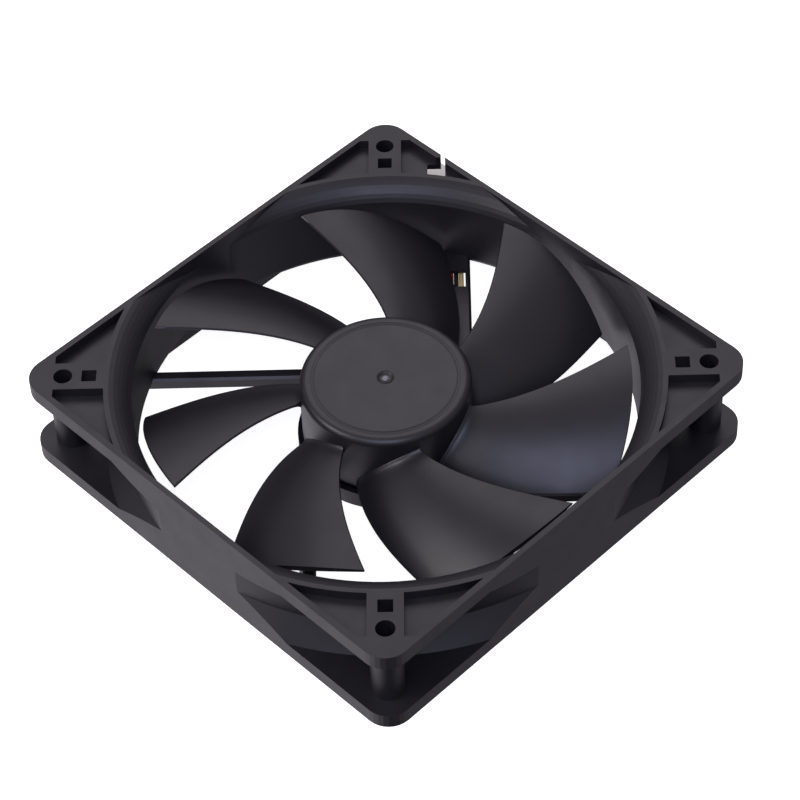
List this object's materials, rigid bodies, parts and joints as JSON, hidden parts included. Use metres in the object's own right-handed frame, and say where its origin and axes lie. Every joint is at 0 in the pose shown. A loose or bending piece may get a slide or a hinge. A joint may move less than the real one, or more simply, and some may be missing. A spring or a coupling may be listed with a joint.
{
  "type": "case fan",
  "caption": "Square axial case fan: a swept-blade impeller on an outer-rotor motor in a flanged square frame, with three leads to a small connector.",
  "frame": {"origin": "centre of the exhaust (back) face of the frame, on the rotor axis", "axes": "+Z along the rotor axis from the exhaust face to the intake face; X and Y along the frame's sides; the leads leave on the +Y side near the -X+Y corner"},
  "size_m": [0.1196, 0.1341, 0.025],
  "materials": {
    "frame_plastic": "fine-textured black moulded thermoplastic, satin",
    "impeller_plastic": "satin black moulded thermoplastic",
    "label_foil": "blank satin silver-grey label film",
    "dark_polymer": "dark moulded polymer",
    "wear_polymer": "natural-coloured low-friction polymer",
    "sintered_bronze": "oil-soaked sintered bronze, dull",
    "insulator_nylon": "natural nylon",
    "lamination_steel": "stacked electrical steel sheets with a dark cut edge",
    "magnet_wire": "enamelled copper wire, layered turns",
    "pin_steel": "tinned pins",
    "board": "green solder mask over glass-fibre laminate",
    "chip_epoxy": "black moulding compound",
    "ceramic_tan": "tan ceramic with tinned ends",
    "resistor_film": "dark film with tinned ends",
    "black_insulation": "soft vinyl insulation",
    "red_insulation": "soft vinyl insulation",
    "yellow_insulation": "soft vinyl insulation",
    "yoke_steel": "deep-drawn zinc-plated steel",
    "ferrite": "bonded ferrite magnet",
    "shaft_steel": "ground stainless steel",
    "bush_brass": "turned brass",
    "tie_polymer": "soft black tie",
    "housing_nylon": "off-white nylon",
    "terminal_tin": "tinned phosphor bronze",
    "hank_insulation": "bundle of vinyl-insulated leads"
  },
  "bodies": {
    "stator": {"frame": "frame_plastic", "rear_label": "label_foil", "rear_plug": "dark_polymer", "thrust_pad": "wear_polymer", "sleeve_bearing": "sintered_bronze", "oil_washer": "wear_polymer", "lower_insulator": "insulator_nylon", "stator_core": "lamination_steel", "upper_insulator": "insulator_nylon", "coil_1": "magnet_wire", "coil_2": "magnet_wire", "coil_3": "magnet_wire", "coil_4": "magnet_wire", "coil_pins": "pin_steel", "circuit_board": "board", "hall_sensor": "chip_epoxy", "driver_chip": "chip_epoxy", "capacitor": "ceramic_tan", "resistors": "resistor_film", "black_lead_held": "black_insulation", "red_lead_held": "red_insulation", "yellow_lead_held": "yellow_insulation", "black_lead": "black_insulation", "red_lead": "red_insulation", "yellow_lead": "yellow_insulation", "lead_hank": "hank_insulation", "hank_tie": "tie_polymer", "connector_housing": "housing_nylon", "connector_terminals": "terminal_tin"},
    "rotor": {"impeller": "impeller_plastic", "rotor_yoke": "yoke_steel", "ring_magnet": "ferrite", "shaft": "shaft_steel", "shaft_bush": "bush_brass", "retaining_ring": "dark_polymer"}
  },
  "joints": [
    {"name": "rotor_spin", "type": "hinge", "parent": "stator", "child": "rotor", "pos_m": [0, 0, 0.01], "axis": [0, 0, 1], "continuous": true}
  ]
}
